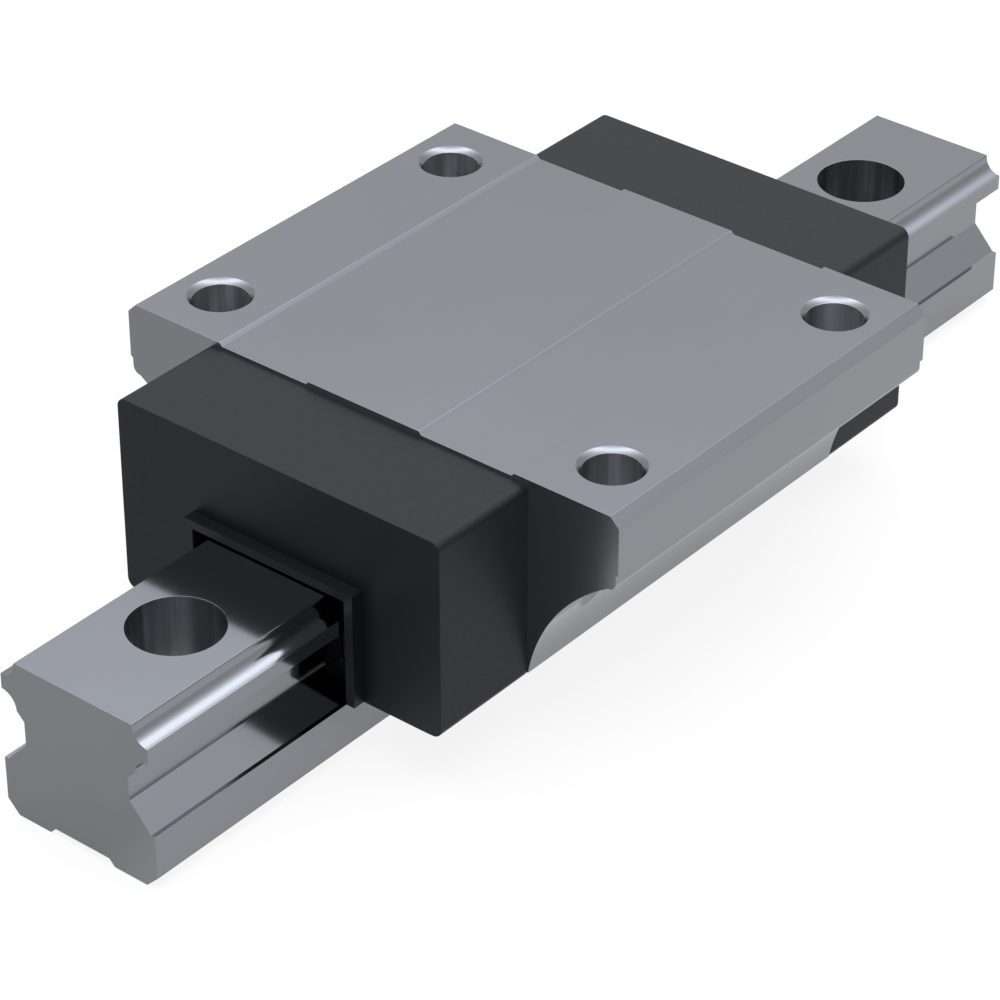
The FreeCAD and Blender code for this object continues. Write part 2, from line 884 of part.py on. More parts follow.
def build_insert(end, label, start, thickness, clearance_outline):
    """A flat piece that fills the cap, with its own opening for the rail."""
    name, turn = end
    body = new_body(f"{name}_{label}", turn)
    outline = new_sketch(body, "outline", "YZ_Plane", start)
    draw(outline, rectangle(-insert_half, insert_bottom, insert_half, insert_top))
    pad(body, outline, thickness)
    opening = new_sketch(body, "opening", "YZ_Plane")
    draw(opening, clearance_outline)
    pocket(body, opening)
    return body


def build_end_cap(end):
    """The moulded cover: a hollow shell with rounded long edges and a raised rim round the rail."""
    name, turn = end
    body = new_body(f"{name}_end_cap", turn)
    outline = new_sketch(body, "outline", "YZ_Plane", block_end)
    draw(outline, rounded(cap_half, cap_bottom, cap_top, size("cap_corner_radius")))
    pad(body, outline, cap_front - block_end)

    cavity = new_sketch(body, "cavity", "YZ_Plane", block_end)
    cavity_bottom = cap_bottom + size("cap_floor_thickness")
    draw(cavity, rectangle(-cap_inside, cavity_bottom, cap_inside, cap_top - cap_wall))
    pocket(body, cavity, wiper_front - block_end, backwards=True)

    rim = new_sketch(body, "rim", "YZ_Plane", cap_front)
    rim_half = opening_half + size("rim_side_thickness")
    rim_top = opening_top + size("rim_top_thickness")
    draw(rim, rectangle(-rim_half, cap_bottom, rim_half, rim_top))
    pad(body, rim, size("rim_depth"))

    opening = new_sketch(body, "opening", "YZ_Plane")
    draw(opening, rectangle(-opening_half, ZERO, opening_half, opening_top))
    pocket(body, opening)

    ridges = new_sketch(body, "snap_ridges", "XY_Plane", snap_middle)
    for side in (1, -1):
        draw(ridges, snap_rectangle(side, cap_inside - size("snap_rise"), cap_inside + cap_wall / 2, ZERO))
    pad(body, ridges, size("snap_span"), both=True)
    return body


def build_end(end):
    """Everything that is stacked on one end face of the block."""
    stack = [build_return_plate(end), build_plate_screws(end)]
    for side, sign in SIDES:
        stack.append(build_spools(end, side, sign if end == REAR else -sign))
    felt_gap = size("felt_rail_gap")
    felt_half = head_half + felt_gap
    for label, start, thickness, opening in (
        ("oil_felt", plate_front, size("felt_thickness"),
         rectangle(-felt_half, ZERO, felt_half, rail_height + felt_gap)),
        ("wiper_backing", felt_front, size("backing_thickness"), follower_outline(size("backing_rail_gap"))),
        ("wiper", backing_front, size("wiper_thickness"), follower_outline(size("wiper_rail_gap"))),
    ):
        stack.append(build_insert(end, label, start, thickness, opening))
    stack.append(build_end_cap(end))
    return stack


# Balls. Each row is one closed circuit: along the rail, round an end, back through the block and round
# the other end. Balls have twenty flat facets, which keeps the model light.


def faceted_ball(radius):
    """A closed solid of twenty equal flat faces whose corners lie on the ball."""
    golden = (1 + math.sqrt(5)) / 2
    scale = radius / math.hypot(1, golden)
    corners = []
    for short in (-scale, scale):
        for long in (-scale * golden, scale * golden):
            corners.append(FreeCAD.Vector(0, short, long))
            corners.append(FreeCAD.Vector(short, long, 0))
            corners.append(FreeCAD.Vector(long, 0, short))
    edge = scale * 2
    faces = []
    for trio in itertools.combinations(corners, 3):
        sides = [first.distanceToPoint(second) for first, second in itertools.combinations(trio, 2)]
        if max(sides) < edge * 1.01:
            faces.append(Part.Face(Part.makePolygon([*trio, trio[0]])))
    solid = Part.Solid(Part.Shell(faces))
    return solid if solid.Volume > 0 else solid.reversed()


def place_on_circuit(distance, straight, turn):
    """Position along X and the share of the way out to the return bore, at a distance round."""
    arc = math.pi * turn / 2
    if distance < straight:
        return distance - straight / 2, 0.0
    distance -= straight
    if distance < arc:
        angle = math.pi * distance / arc
        return straight / 2 + turn / 2 * math.sin(angle), (1 - math.cos(angle)) / 2
    distance -= arc
    if distance < straight:
        return straight / 2 - distance, 1.0
    angle = math.pi * (distance - straight) / arc
    return -straight / 2 - turn / 2 * math.sin(angle), (1 + math.cos(angle)) / 2


def build_ball_rows():
    straight = block_length.value
    turn = size("turn_diameter").value
    circuit = straight * 2 + math.pi * turn
    count = math.floor(circuit / (size("ball_size").value + size("ball_spacing_gap").value))
    pattern = faceted_ball(ball_radius.value)
    rows = []
    for row, height, angle in TURNS:
        out_across, out_up = return_row(height, angle)
        for side, sign in SIDES:
            balls = []
            for number in range(count):
                along, share = place_on_circuit(circuit * number / count, straight, turn)
                across = ball_across.value + (out_across.value - ball_across.value) * share
                up = height.value + (out_up.value - height.value) * share
                balls.append(pattern.translated(FreeCAD.Vector(along, across * sign, up)))
            feature = doc.addObject("Part::Feature", f"{side}_{row}_balls")
            feature.Label = f"{side}_{row}_balls"
            feature.Shape = Part.makeCompound(balls)
            station = size("carriage_station")
            feature.Placement.Base = FreeCAD.Vector(station.value, 0, 0)
            feature.setExpression("Placement.Base.x", station.text)
            rows.append(feature)
    return rows


pieces = [build_rail(), build_block()]
pieces += build_strips()
for end in (FRONT, REAR):
    pieces += build_end(end)
pieces += build_ball_rows()

doc.recompute()
for item in doc.Objects:
    if "Invalid" in item.State or "Error" in item.State:
        raise RuntimeError(f"{item.Label} could not be built")
for piece in pieces:
    if piece.Shape.isNull() or not piece.Shape.isValid():
        raise RuntimeError(f"{piece.Label} has no valid shape")

os.makedirs("parts", exist_ok=True)
for piece in pieces:
    piece.Shape.exportStep(f"parts/{piece.Label}.step")
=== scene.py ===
import math

import bmesh
import bpy
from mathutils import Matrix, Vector


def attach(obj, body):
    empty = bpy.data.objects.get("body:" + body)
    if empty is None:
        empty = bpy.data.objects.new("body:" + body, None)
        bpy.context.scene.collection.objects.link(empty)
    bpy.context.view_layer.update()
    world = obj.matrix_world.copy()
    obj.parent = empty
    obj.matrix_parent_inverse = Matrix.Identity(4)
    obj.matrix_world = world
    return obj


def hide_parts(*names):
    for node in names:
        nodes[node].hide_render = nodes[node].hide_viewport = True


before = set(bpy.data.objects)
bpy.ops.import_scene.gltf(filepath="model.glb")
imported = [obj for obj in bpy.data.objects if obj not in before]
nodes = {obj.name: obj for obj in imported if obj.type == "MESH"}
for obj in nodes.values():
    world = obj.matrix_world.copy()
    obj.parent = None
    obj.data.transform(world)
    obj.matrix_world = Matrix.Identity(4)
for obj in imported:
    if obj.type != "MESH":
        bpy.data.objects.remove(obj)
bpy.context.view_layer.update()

MM = 0.001
RAIL, CARRIAGE = "rail", "carriage"
ENDS = ("front", "rear")
SIDES = ("left", "right")
ROWS = ("upper", "lower")
WHITE = (1, 1, 1, 1)


# Camera, at the photograph's viewing angle

AZIMUTH = math.radians(-50.68)
ELEVATION = math.radians(33.36)
DISTANCE = 592.5 * MM
LENS = 144.46
SENSOR = 36.0
NEAREST, FARTHEST = 0.01, 50.0
AIM = Vector((-10.99, 0.214, 11.0)) * MM


def place_camera():
    """Looks at the aim from the azimuth, elevation and distance of the photograph."""
    back = Vector((
        math.sin(AZIMUTH) * math.cos(ELEVATION),
        -math.cos(AZIMUTH) * math.cos(ELEVATION),
        math.sin(ELEVATION),
    ))
    lens = bpy.data.cameras.new("photo_view")
    lens.lens = LENS
    lens.sensor_width = SENSOR
    lens.clip_start = NEAREST
    lens.clip_end = FARTHEST
    camera = bpy.data.objects.new("photo_view", lens)
    camera.location = AIM + back * DISTANCE
    camera.rotation_mode = "QUATERNION"
    camera.rotation_quaternion = (-back).to_track_quat("-Z", "Y")
    bpy.context.scene.collection.objects.link(camera)
    bpy.context.scene.camera = camera


# Node helpers

EDGE_SAMPLES = 4

# How closely the normal of a rounded corner agrees with the face's own, from worn and painted highlight
# to plain
EDGE_TURN = (0.80, 0.985)


def add(tree, kind, inputs=None, **settings):
    """A shader node with its settings, and with its inputs wired or set."""
    made = tree.nodes.new(kind)
    for name, value in settings.items():
        setattr(made, name, value)
    for key, value in (inputs or {}).items():
        if isinstance(value, bpy.types.NodeSocket):
            tree.links.new(value, made.inputs[key])
        else:
            made.inputs[key].default_value = value
    return made


def new_tree(name):
    """A fresh material and its empty node tree."""
    material = bpy.data.materials.new(name)
    material.use_nodes = True
    material.node_tree.nodes.clear()
    return material, material.node_tree


def grain(tree, stretch, detail=3.0, roughness=0.55):
    """Noise on the object's own coordinates. Stretch is how many grains fit in a metre each way."""
    coordinates = add(tree, "ShaderNodeTexCoord").outputs["Object"]
    mapped = add(tree, "ShaderNodeMapping", {"Vector": coordinates, "Scale": stretch})
    noise = add(
        tree, "ShaderNodeTexNoise",
        {"Vector": mapped.outputs["Vector"], "Scale": 1.0, "Detail": detail, "Roughness": roughness},
    )
    return noise.outputs["Fac"]


def spread(tree, value, low, high, start=0.3, end=0.7):
    """The value's middle part spread between two numbers."""
    made = add(
        tree, "ShaderNodeMapRange",
        {"Value": value, "From Min": start, "From Max": end, "To Min": low, "To Max": high},
    )
    return made.outputs["Result"]


def mixed(tree, share, first, second):
    """A colour between two others. Each is a colour or another node's output."""
    made = tree.nodes.new("ShaderNodeMix")
    made.data_type = "RGBA"
    colour_inputs = [socket for socket in made.inputs if socket.type == "RGBA"]
    for socket, value in zip([made.inputs[0], *colour_inputs], (share, first, second)):
        if isinstance(value, bpy.types.NodeSocket):
            tree.links.new(value, socket)
        else:
            socket.default_value = value
    return next(socket for socket in made.outputs if socket.type == "RGBA")


def worn_and_highlit_edges(tree, reach, strength):
    """The strength on edges that hands and parts have rubbed, within reach of them, else none. On steel
    and plastic it lightens the colour, partly as wear and partly as a painted highlight.
    """
    rounded = add(tree, "ShaderNodeBevel", {"Radius": reach}, samples=EDGE_SAMPLES)
    plain = add(tree, "ShaderNodeNewGeometry").outputs["Normal"]
    turn = add(
        tree, "ShaderNodeVectorMath",
        {0: rounded.outputs["Normal"], 1: plain}, operation="DOT_PRODUCT",
    )
    return spread(tree, turn.outputs["Value"], strength, 0.0, *EDGE_TURN)


def total(tree, first, second):
    """Two values added. Each is a number or another node's output."""
    return add(tree, "ShaderNodeMath", {0: first, 1: second}, operation="ADD").outputs[0]


def times(tree, first, second):
    """Two values multiplied. Each is a number or another node's output."""
    return add(tree, "ShaderNodeMath", {0: first, 1: second}, operation="MULTIPLY").outputs[0]


def opposite(tree, share):
    """One where the share is none, and none where it is one."""
    return total(tree, 1.0, times(tree, share, -1.0))


def between(tree, share, first, second):
    """The first number where the share is none, the second where it is one."""
    return total(tree, times(tree, first, opposite(tree, share)), times(tree, second, share))


def finish_surface(tree, colour, roughness, height, depth, metallic=0.0):
    """Closes a material: a Principled shader with its colour, roughness and bump."""
    bump = add(tree, "ShaderNodeBump", {"Height": height, "Strength": 1.0, "Distance": depth})
    shader = add(
        tree, "ShaderNodeBsdfPrincipled",
        {
            "Base Color": colour, "Roughness": roughness, "Metallic": metallic,
            "Normal": bump.outputs["Normal"],
        },
    )
    add(tree, "ShaderNodeOutputMaterial", {"Surface": shader.outputs["BSDF"]})
    return shader


# Finishes

# Where the holes are: the radius of each is a little over the real one, so that its wall is inside
CARRIAGE_STATION = -5.2 * MM
BOLT_ALONG, BOLT_ACROSS, BOLT_WALL = 26.0 * MM, 36.0 * MM, 4.3 * MM
BREAK_OUT = (31.5 * MM, 34.0 * MM)
HALF_PITCH, COUNTERBORE_WALL = 40.0 * MM, 7.05 * MM

# How squarely a face looks along an axis before it counts as an end or as level
END_FACES, LEVEL_FACES = (0.90, 0.98), (0.5, 0.7)

# Steel: the size of its grain in grains a metre, and how colour and gloss vary with it
GROUND_STREAKS = (30, 3200, 3200)
STEEL_CLOUDS = (28, 28, 28)
DRAWN_LINES = (420, 420, 6)
DRAWN_SPREAD = (0.4, 0.6)
STREAK_TONE = 0.2
STREAK_GLOSS = (-0.015, 0.02)
CLOUD_GLOSS = (-0.01, 0.015)
DRAWN_GLOSS = (0.16, 0.26)
HALF_HEIGHT = 0.5
# Steel edges: reach of the rounding, strength of the wear and painted highlight, and how much lighter
# their colour is painted
STEEL_EDGE, STEEL_WEAR_AND_HIGHLIGHT, STEEL_SHINE = 0.2 * MM, 0.25, 1.35
# Tints of the bore walls' clear and dull streaks, times their tone, which is a painted reflection
# lighter than the steel
BORE_CLEAR, BORE_DULL = (1.0, 1.01, 1.05), (0.5, 0.5, 0.52)

# Plastic, felt and rubber: the same
PORES, PLASTIC_CLOUDS, PORE_DEPTH = (2600, 2600, 2600), (55, 55, 55), 0.0015 * MM
PORE_GLOSS, PLASTIC_CLOUD_GLOSS = (-0.04, 0.05), (-0.02, 0.02)
# Plastic edges: the same, with a small lift to the lighter colour of the painted edge highlight
PLASTIC_EDGE, PLASTIC_WEAR_AND_HIGHLIGHT, PLASTIC_SHINE, PLASTIC_LIFT = 0.2 * MM, 0.3, 1.3, 0.001
POLISHED, PLASTIC_IOR = -0.04, 1.46
FELT_FIBRES, FELT_CLOUDS, FELT_DEPTH = (1800, 3600, 2600), (160, 160, 160), 0.08 * MM
FELT_GLOSS, FELT_CLOUD_TONE, FELT_SHEEN, SHEEN_ROUGH = (0.80, 0.97), 0.4, 0.35, 0.5
RUBBER_SKIN, RUBBER_BLOOM, RUBBER_DEPTH = (3200, 3200, 3200), (120, 120, 120), 0.008 * MM
RUBBER_GLOSS, RUBBER_EDGE, RUBBER_WEAR, RUBBED = (0.62, 0.74), 0.3 * MM, 0.6, -0.2

# Colours, light and dark
GROUND = (0.304, 0.316, 0.340), (0.292, 0.304, 0.327)
CAP_BLACK = (0.0079, 0.0083, 0.0098), (0.0063, 0.0067, 0.0081)
PLATE_BLACK = (0.060, 0.062, 0.058), (0.045, 0.047, 0.044)
SPOOL_CREAM = (0.52, 0.50, 0.44), (0.44, 0.42, 0.36)
RETAINER_GREY = (0.40, 0.42, 0.40), (0.33, 0.35, 0.33)
OILED_FELT = (0.42, 0.36, 0.24), (0.24, 0.19, 0.11)
RUBBER_BLACK = (0.006, 0.006, 0.007), (0.003, 0.003, 0.004)
BACKING = (0.40, 0.40, 0.39), (0.33, 0.33, 0.32)
BLACKENED = (0.12, 0.12, 0.125), (0.07, 0.07, 0.075)
BEARING = (0.56, 0.56, 0.57), (0.50, 0.50, 0.51)
COOL = (0.90, 0.94, 1.0, 1)


def position(tree):
    """The object's own coordinates, one output for each direction."""
    coordinates = add(tree, "ShaderNodeTexCoord").outputs["Object"]
    return add(tree, "ShaderNodeSeparateXYZ", {"Vector": coordinates}).outputs


def within(tree, along, across, radius):
    """One inside a circle round the place where both distances are nothing, and none outside."""
    along_square = times(tree, along, along)
    across_square = times(tree, across, across)
    reach = total(tree, along_square, across_square)
    inside = add(tree, "ShaderNodeMath", {0: reach, 1: radius * radius}, operation="LESS_THAN")
    return inside.outputs[0]


def folded(tree, value, middle):
    """How far the size of a value is from the middle one."""
    size = add(tree, "ShaderNodeMath", {0: value}, operation="ABSOLUTE").outputs[0]
    return total(tree, size, -middle)


def rail_holes(tree):
    """The rail's counterbores and bores, one every pitch from the rail's middle."""
    place = position(tree)
    along = add(tree, "ShaderNodeMath", {0: place["X"], 1: HALF_PITCH}, operation="PINGPONG").outputs[0]
    return within(tree, along, place["Y"], COUNTERBORE_WALL)


def bolt_holes(tree):
    """The four tapped holes of the carriage's flange, down to where they break out of the skirt."""
    place = position(tree)
    along = folded(tree, total(tree, place["X"], -CARRIAGE_STATION), BOLT_ALONG)
    around = within(tree, along, folded(tree, place["Y"], BOLT_ACROSS), BOLT_WALL)
    return times(tree, around, spread(tree, place["Z"], 0.0, 1.0, *BREAK_OUT))


def square_to(tree, axis, start, end):
    """One on faces square to an axis, and none on those that lie along it."""
    facing = add(tree, "ShaderNodeNewGeometry").outputs["Normal"]
    along = add(tree, "ShaderNodeSeparateXYZ", {"Vector": facing}).outputs[axis]
    size = add(tree, "ShaderNodeMath", {0: along}, operation="ABSOLUTE").outputs[0]
    return spread(tree, size, 0.0, 1.0, start, end)


def shifted(gloss, change):
    """The lowest and highest roughness round a middle one."""
    return gloss + change[0], gloss + change[1]


def ground_steel(
    name, colours, rough, streaks=GROUND_STREAKS, streak_depth=0.0004 * MM,
    holes=None, painted_bore_reflection=0.0, end_rough=None, end_haze=0.0,
):
    """Hardened steel ground lengthwise: fine streaks, a little clouding, and edges rubbed brighter,
    partly wear and partly a painted highlight.

    Holes is a function that marks the walls of bored holes, and painted_bore_reflection is their tone:
    lighter than the steel, a painted reflection in the bores. End_rough is how much less smooth the
    milled ends are, which have no streaks, and end_haze is the share of light that they scatter.
    """
    material, tree = new_tree(name)
    light, dark = colours
    lines = grain(tree, streaks, detail=2.0)
    if end_rough is not None:
        ends = square_to(tree, "X", *END_FACES)
        lines = between(tree, ends, lines, HALF_HEIGHT)
    clouds = grain(tree, STEEL_CLOUDS, detail=4.0)
    tone = mixed(tree, spread(tree, clouds, 0.0, 1.0), (*dark, 1), (*light, 1))
    tone = mixed(tree, spread(tree, lines, 0.0, STREAK_TONE), tone, (*dark, 1))
    # Edges painted lighter: partly rubbed wear, partly a painted highlight
    edges = worn_and_highlit_edges(tree, STEEL_EDGE, STEEL_WEAR_AND_HIGHLIGHT)
    bright = tuple(channel * STEEL_SHINE for channel in light)
    tone = mixed(tree, edges, tone, (*bright, 1))
    streak_gloss = spread(tree, lines, *shifted(rough, STREAK_GLOSS))
    gloss = total(tree, streak_gloss, spread(tree, clouds, *CLOUD_GLOSS))
    height = lines
    metal = 1.0
    if end_rough is not None:
        gloss = total(tree, gloss, times(tree, ends, end_rough))
        metal = opposite(tree, times(tree, ends, end_haze))
    if holes is not None:
        # The walls of the holes are painted lighter than the steel, as a painted reflection in the
        # bores
        inside = times(tree, holes(tree), opposite(tree, square_to(tree, "Z", *LEVEL_FACES)))
        drawn_lines = grain(tree, DRAWN_LINES, detail=2.0)
        clear, dull = (
            tuple(channel * painted_bore_reflection for channel in tint) for tint in (BORE_CLEAR, BORE_DULL)
        )
        share = spread(tree, drawn_lines, 0.0, 1.0, *DRAWN_SPREAD)
        walls = mixed(tree, share, (*clear, 1), (*dull, 1))
        tone = mixed(tree, inside, tone, walls)
        drawn_gloss = spread(tree, drawn_lines, *shifted(rough, DRAWN_GLOSS))
        gloss = between(tree, inside, gloss, drawn_gloss)
        height = between(tree, inside, height, HALF_HEIGHT)
    finish_surface(tree, tone, gloss, height, streak_depth, metal)
    return material


def moulded_plastic(name, colours, rough, shine=0.5, tint=WHITE):
    """Moulded plastic with a fine spark-eroded grain, slight clouding, and polished corners painted
    lighter, partly wear and partly a painted highlight.
    """
    material, tree = new_tree(name)
    light, dark = colours
    pores = grain(tree, PORES)
    clouds = grain(tree, PLASTIC_CLOUDS)
    tone = mixed(tree, spread(tree, clouds, 0.0, 1.0), (*dark, 1), (*light, 1))
    # Corners painted lighter: partly rubbed wear, partly a painted highlight
    edges = worn_and_highlit_edges(tree, PLASTIC_EDGE, PLASTIC_WEAR_AND_HIGHLIGHT)
    bright = tuple(channel * PLASTIC_SHINE + PLASTIC_LIFT for channel in light)
    tone = mixed(tree, edges, tone, (*bright, 1))
    pore_gloss = spread(tree, pores, *shifted(rough, PORE_GLOSS))
    gloss = total(tree, pore_gloss, spread(tree, clouds, *PLASTIC_CLOUD_GLOSS))
    gloss = total(tree, gloss, times(tree, edges, POLISHED))
    shader = finish_surface(tree, tone, gloss, pores, PORE_DEPTH)
    shader.inputs["IOR"].default_value = PLASTIC_IOR
    shader.inputs["Specular IOR Level"].default_value = shine
    shader.inputs["Specular Tint"].default_value = tint
    return material


def pressed_felt(name, colours):
    """Lubricated felt: matted fibres with a soft sheen."""
    material, tree = new_tree(name)
    light, dark = colours
    fibres = grain(tree, FELT_FIBRES, detail=6.0, roughness=0.7)
    clouds = grain(tree, FELT_CLOUDS)
    tone = mixed(tree, spread(tree, fibres, 0.0, 1.0), (*dark, 1), (*light, 1))
    tone = mixed(tree, spread(tree, clouds, 0.0, FELT_CLOUD_TONE), tone, (*dark, 1))
    gloss = spread(tree, fibres, *FELT_GLOSS)
    shader = finish_surface(tree, tone, gloss, fibres, FELT_DEPTH)
    shader.inputs["Sheen Weight"].default_value = FELT_SHEEN
    shader.inputs["Sheen Roughness"].default_value = SHEEN_ROUGH
    return material


def soft_rubber(name, colours):
    """Nitrile rubber: nearly black, with a matt bloom that is rubbed off at the lips."""
    material, tree = new_tree(name)
    light, dark = colours
    skin = grain(tree, RUBBER_SKIN)
    bloom = grain(tree, RUBBER_BLOOM, detail=4.0)
    edges = worn_and_highlit_edges(tree, RUBBER_EDGE, RUBBER_WEAR)
    tone = mixed(tree, spread(tree, bloom, 0.0, 1.0), (*dark, 1), (*light, 1))
    tone = mixed(tree, edges, tone, (*dark, 1))
    gloss = total(tree, spread(tree, skin, *RUBBER_GLOSS), times(tree, edges, RUBBED))
    finish_surface(tree, tone, gloss, skin, RUBBER_DEPTH)
    return material


def make_finishes():
    """One material for each slot."""
    return {
        # The bore tones paint a reflection into the walls of the holes
        "rail_steel": ground_steel(
            "ground_rail_steel", GROUND, 0.10, holes=rail_holes, painted_bore_reflection=0.60, end_rough=0.0,
        ),
        "block_steel": ground_steel(
            "ground_block_steel", GROUND, 0.12, holes=bolt_holes, painted_bore_reflection=0.86,
            end_rough=0.08, end_haze=0.10,
        ),
        "cap_plastic": moulded_plastic(
            "black_cap_plastic", CAP_BLACK, 0.46, shine=0.39, tint=COOL,
        ),
        "plate_plastic": moulded_plastic("return_plate_plastic", PLATE_BLACK, 0.45),
        "spool_plastic": moulded_plastic("spool_plastic", SPOOL_CREAM, 0.38),
        "retainer_plastic": moulded_plastic("retainer_plastic", RETAINER_GREY, 0.40),
        "felt": pressed_felt("oiled_felt", OILED_FELT),
        "wiper_rubber": soft_rubber("wiper_rubber", RUBBER_BLACK),
        "backing_steel": ground_steel("backing_steel", BACKING, 0.30, streaks=(900, 900, 60)),
        "screw_steel": ground_steel("screw_steel", BLACKENED, 0.34, streaks=(900, 900, 900)),
        "ball_steel": ground_steel(
            "bearing_ball_steel", BEARING, 0.07, streaks=(700, 700, 700), streak_depth=0.0002 * MM,
        ),
    }


# Pieces

# Corners closer than this are one
MERGE = 0.002 * MM

# Angles between faces: up to FLAT they are one face, over SHARP a convex corner is broken, and
# shading runs round a corner up to SHARP, or up to UNBROKEN where it is convex
FLAT, SHARP, UNBROKEN = math.radians(1), math.radians(24), math.radians(50)
STEEL_BREAK, MOULDED_BREAK = 0.03 * MM, 0.09 * MM
BREAK_SEGMENTS = 2

# The block's end faces, and the cap's faces outside its rim
BLOCK_FACES = (-41.2 * MM, 30.8 * MM)
CAP_SIDES, CAP_CROWN = 24.0 * MM, 34.0 * MM

BALL_DIVISIONS = 2
LARGE_FACES_FIRST = 100


def fresh_piece(name, shape, body, slot, finishes, replaced):
    """Turns a finished bmesh into a piece that rides on a body and stands for CAD nodes."""
    mesh = bpy.data.meshes.new(name)
    shape.to_mesh(mesh)
    shape.free()
    mesh.materials.append(finishes[slot])
    piece = bpy.data.objects.new(name, mesh)
    bpy.context.scene.collection.objects.link(piece)
    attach(piece, body)
    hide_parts(*replaced)
    return piece


def anywhere(place):
    """True everywhere."""
    return True


def on_cap_outside(place):
    """True on the cap's outer corners, but not on its rim nor where it meets the block."""
    outside = abs(place.y) > CAP_SIDES or place.z > CAP_CROWN
    meets_block = any(abs(place.x - face) < MERGE for face in BLOCK_FACES)
    return outside and not meets_block


def dressed(node, body, slot, finishes, edge_break, where=anywhere):
    """The node's own shape with its outer corners broken by a small rounding, as deburring leaves it.

    Where says at which places the corners are broken. The others stay sharp.
    """
    shape = bmesh.new()
    shape.from_mesh(nodes[node].data)
    bmesh.ops.remove_doubles(shape, verts=shape.verts, dist=MERGE)
    bmesh.ops.dissolve_limit(shape, angle_limit=FLAT, verts=shape.verts, edges=shape.edges)
    corners = [
        edge for edge in shape.edges
        if edge.is_manifold and edge.is_convex and edge.calc_face_angle() > SHARP
        and where((edge.verts[0].co + edge.verts[1].co) / 2)
    ]
    bmesh.ops.bevel(
        shape, geom=corners, offset=edge_break, affect="EDGES", segments=BREAK_SEGMENTS,
        profile=0.5, material=-1, clamp_overlap=False, miter_outer="ARC",
    )
    for face in shape.faces:
        face.smooth = True
    for edge in shape.edges:
        if edge.is_manifold:
            limit = UNBROKEN if edge.is_convex else SHARP
            edge.smooth = edge.calc_face_angle() < limit
    piece = fresh_piece(f"{node}_finished", shape, body, slot, finishes, [node])
    even = piece.modifiers.new("flat_faces", "WEIGHTED_NORMAL")
    even.weight = LARGE_FACES_FIRST
    even.keep_sharp = True
    return piece


def make_balls(node, body, finishes):
    """Bearing balls in place of the node's flat-sided ones, each at the middle of one of them."""
    source = bmesh.new()
    source.from_mesh(nodes[node].data)
    bmesh.ops.remove_doubles(source, verts=source.verts, dist=MERGE)
    row = bmesh.new()
    found = set()
    for start in source.verts:
        if start in found:
            continue
        found.add(start)
        ball = [start]
        for vertex in ball:
            for edge in vertex.link_edges:
                other = edge.other_vert(vertex)
                if other not in found:
                    found.add(other)
                    ball.append(other)
        middle = sum((vertex.co for vertex in ball), Vector()) / len(ball)
        radius = max((vertex.co - middle).length for vertex in ball)
        made = bmesh.ops.create_icosphere(row, subdivisions=BALL_DIVISIONS, radius=radius)
        bmesh.ops.translate(row, verts=made["verts"], vec=middle)
    source.free()
    for face in row.faces:
        face.smooth = True
    return fresh_piece(f"{node}_round", row, body, "ball_steel", finishes, [node])


def dress_node(node, finishes, slot):
    """Gives a CAD node that keeps its own shape its finish."""
    mesh = nodes[node].data
    mesh.materials.clear()
    mesh.materials.append(finishes[slot])


def make_pieces(finishes):
    """Every node of the part, with its finish."""
    dressed("guide_rail", RAIL, "rail_steel", finishes, STEEL_BREAK)
    dressed("carriage_block", CARRIAGE, "block_steel", finishes, STEEL_BREAK)
    for end in ENDS:
        dressed(f"{end}_end_cap", CARRIAGE, "cap_plastic", finishes, MOULDED_BREAK, on_cap_outside)
        dress_node(f"{end}_return_plate", finishes, "plate_plastic")
        dress_node(f"{end}_oil_felt", finishes, "felt")
        dress_node(f"{end}_wiper_backing", finishes, "backing_steel")
        dress_node(f"{end}_wiper", finishes, "wiper_rubber")
        dress_node(f"{end}_plate_screws", finishes, "screw_steel")
        for side in SIDES:
            dress_node(f"{end}_{side}_spools", finishes, "spool_plastic")
    dress_node("top_ball_retainer", finishes, "retainer_plastic")
    for side in SIDES:
        dress_node(f"{side}_side_ball_retainer", finishes, "retainer_plastic")
        dress_node(f"{side}_lower_ball_retainer", finishes, "retainer_plastic")
        dress_node(f"{side}_bottom_seal", finishes, "wiper_rubber")
        for row in ROWS:
            make_balls(f"{side}_{row}_balls", CARRIAGE, finishes)


# Stage: a plain pale floor and a pale room, lit by one large soft panel overhead

FLOOR_HALF = 6.0
FLOOR_DROP = 0.05 * MM
FLOOR_TONE = 0.18

# The floor's glow for the camera, which is white from the second distance on
FLOOR_SEEN = 0.87
FLOOR_PALES = (0.12, 0.50)

# Its glow in polished faces, on the near and on the far side of this strip under the rail; the weaker
# far side is painted shade of the floor
FLOOR_MIRRORED, FLOOR_BEHIND = 0.63, 0.43
FLOOR_TURN = (-18.0 * MM, -2.0 * MM)


def mirror_rays(tree, path):
    """One for rays that come from a mirror or through glass."""
    made = add(
        tree, "ShaderNodeMath",
        {0: path["Is Glossy Ray"], 1: path["Is Transmission Ray"]}, operation="MAXIMUM",
    )
    return made.outputs[0]


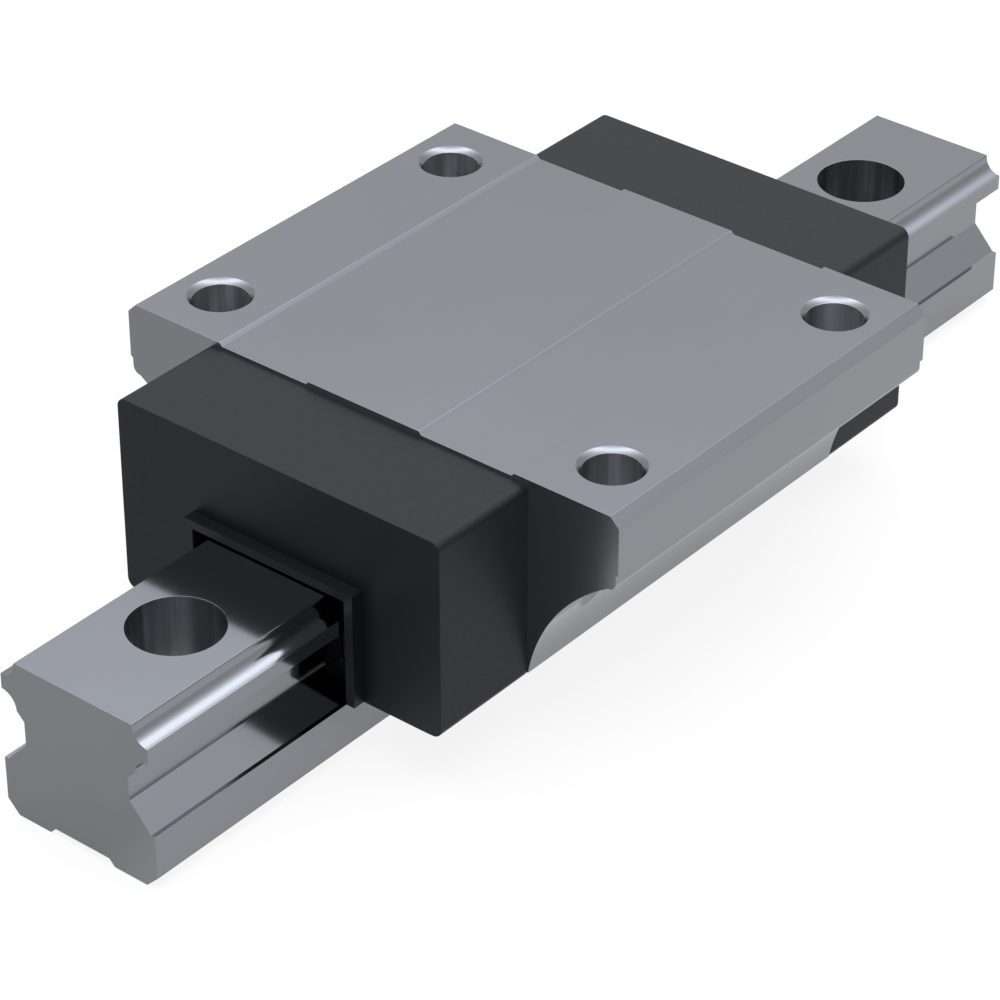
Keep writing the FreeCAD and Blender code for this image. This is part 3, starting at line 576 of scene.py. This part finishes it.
def make_floor():
    """A matt floor that catches the shadow, and glows for the rays that look at it.

    Its glow grows to white away from the object. In polished faces it is weaker on the far side of
    the rail than on the near side, as painted shade of the floor.
    """
    shape = bmesh.new()
    bmesh.ops.create_grid(shape, x_segments=1, y_segments=1, size=FLOOR_HALF)
    bmesh.ops.translate(shape, verts=shape.verts, vec=(0, 0, -FLOOR_DROP))
    mesh = bpy.data.meshes.new("floor")
    shape.to_mesh(mesh)
    shape.free()
    material, tree = new_tree("pale_floor")
    matt = add(tree, "ShaderNodeBsdfDiffuse", {"Color": (FLOOR_TONE, FLOOR_TONE, FLOOR_TONE, 1)})
    path = add(tree, "ShaderNodeLightPath").outputs
    # Weaker beyond the rail in polished faces: painted shade of the floor
    mirrored = spread(tree, position(tree)["Y"], FLOOR_MIRRORED, FLOOR_BEHIND, *FLOOR_TURN)
    place = add(tree, "ShaderNodeTexCoord").outputs["Object"]
    distance = add(tree, "ShaderNodeVectorMath", {0: place}, operation="LENGTH").outputs["Value"]
    seen = times(tree, path["Is Camera Ray"], spread(tree, distance, FLOOR_SEEN, 1.0, *FLOOR_PALES))
    looking = total(tree, seen, times(tree, mirror_rays(tree, path), mirrored))
    glow = add(tree, "ShaderNodeEmission", {"Color": WHITE, "Strength": looking})
    both = add(tree, "ShaderNodeAddShader", {0: matt.outputs[0], 1: glow.outputs[0]})
    add(tree, "ShaderNodeOutputMaterial", {"Surface": both.outputs[0]})
    mesh.materials.append(material)
    floor = bpy.data.objects.new("floor", mesh)
    bpy.context.scene.collection.objects.link(floor)


ROOM_LIGHT = 0.32

# What polished faces mirror of the room. Heights run from 0 at the horizon to 1 straight overhead.
HORIZON = 0.62
WALL_START, WALL_TOP, WALL_RISE, WALL_CURVE = 0.15, 0.62, 0.55, 3.0
GLOW_START, GLOW_TOP, GLOW_RISE, GLOW_CURVE = 0.57, 0.80, 1.62, 2.2
GLOW_FADE = (0.86, 0.96)
SKY_TINT = (0.985, 1.0, 1.055)
SKY_HEIGHTS = (0.46, 0.60)

PANEL_PLACE, PANEL_AIM = (0.10, 0.0, 0.72), (0.10, 0.0, 0.0)
PANEL_WIDTH, PANEL_DEPTH = 1.1, 0.9
PANEL_BRIGHTNESS = 2.0


def climb(tree, height, start, end, rise, curve):
    """Nothing below the start, and from there a bent rise that has its full size at the end."""
    share = spread(tree, height, 0.0, 1.0, start=start, end=end)
    bent = add(tree, "ShaderNodeMath", {0: share, 1: curve}, operation="POWER").outputs[0]
    return times(tree, bent, rise)


def make_room():
    """A plain pale room. In polished faces its walls are greyer and a soft band glows high up."""
    world = bpy.data.worlds.new("pale_room")
    bpy.context.scene.world = world
    world.use_nodes = True
    tree = world.node_tree
    tree.nodes.clear()
    direction = add(tree, "ShaderNodeTexCoord").outputs["Generated"]
    height = add(tree, "ShaderNodeSeparateXYZ", {"Vector": direction}).outputs["Z"]
    walls = climb(tree, height, WALL_START, WALL_TOP, WALL_RISE, WALL_CURVE)
    glow = climb(tree, height, GLOW_START, GLOW_TOP, GLOW_RISE, GLOW_CURVE)
    glow = times(tree, glow, spread(tree, height, 1.0, 0.0, *GLOW_FADE))
    mirrored_room = total(tree, total(tree, walls, HORIZON), glow)
    path = add(tree, "ShaderNodeLightPath").outputs
    mirrored = mirror_rays(tree, path)
    unmirrored = between(tree, path["Is Camera Ray"], ROOM_LIGHT, 1.0)
    strength = between(tree, mirrored, unmirrored, mirrored_room)
    bluish = times(tree, mirrored, spread(tree, height, 0.0, 1.0, *SKY_HEIGHTS))
    tint = mixed(tree, bluish, WHITE, (*SKY_TINT, 1))
    back = add(tree, "ShaderNodeBackground", {"Color": tint, "Strength": strength})
    add(tree, "ShaderNodeOutputWorld", {"Surface": back.outputs[0]})


def make_ceiling_panel():
    """One large rectangular lamp overhead, which polished faces don't mirror."""
    lamp = bpy.data.lights.new("ceiling_panel", "AREA")
    lamp.shape = "RECTANGLE"
    lamp.size = PANEL_WIDTH
    lamp.size_y = PANEL_DEPTH
    lamp.energy = PANEL_BRIGHTNESS * math.pi * PANEL_WIDTH * PANEL_DEPTH
    panel = bpy.data.objects.new("ceiling_panel", lamp)
    panel.location = PANEL_PLACE
    panel.rotation_mode = "QUATERNION"
    panel.rotation_quaternion = (Vector(PANEL_AIM) - Vector(PANEL_PLACE)).to_track_quat("-Z", "Y")
    panel.visible_glossy = False
    bpy.context.scene.collection.objects.link(panel)


place_camera()
make_pieces(make_finishes())
make_floor()
make_room()
make_ceiling_panel()

bpy.context.scene.view_settings.view_transform = "Standard"
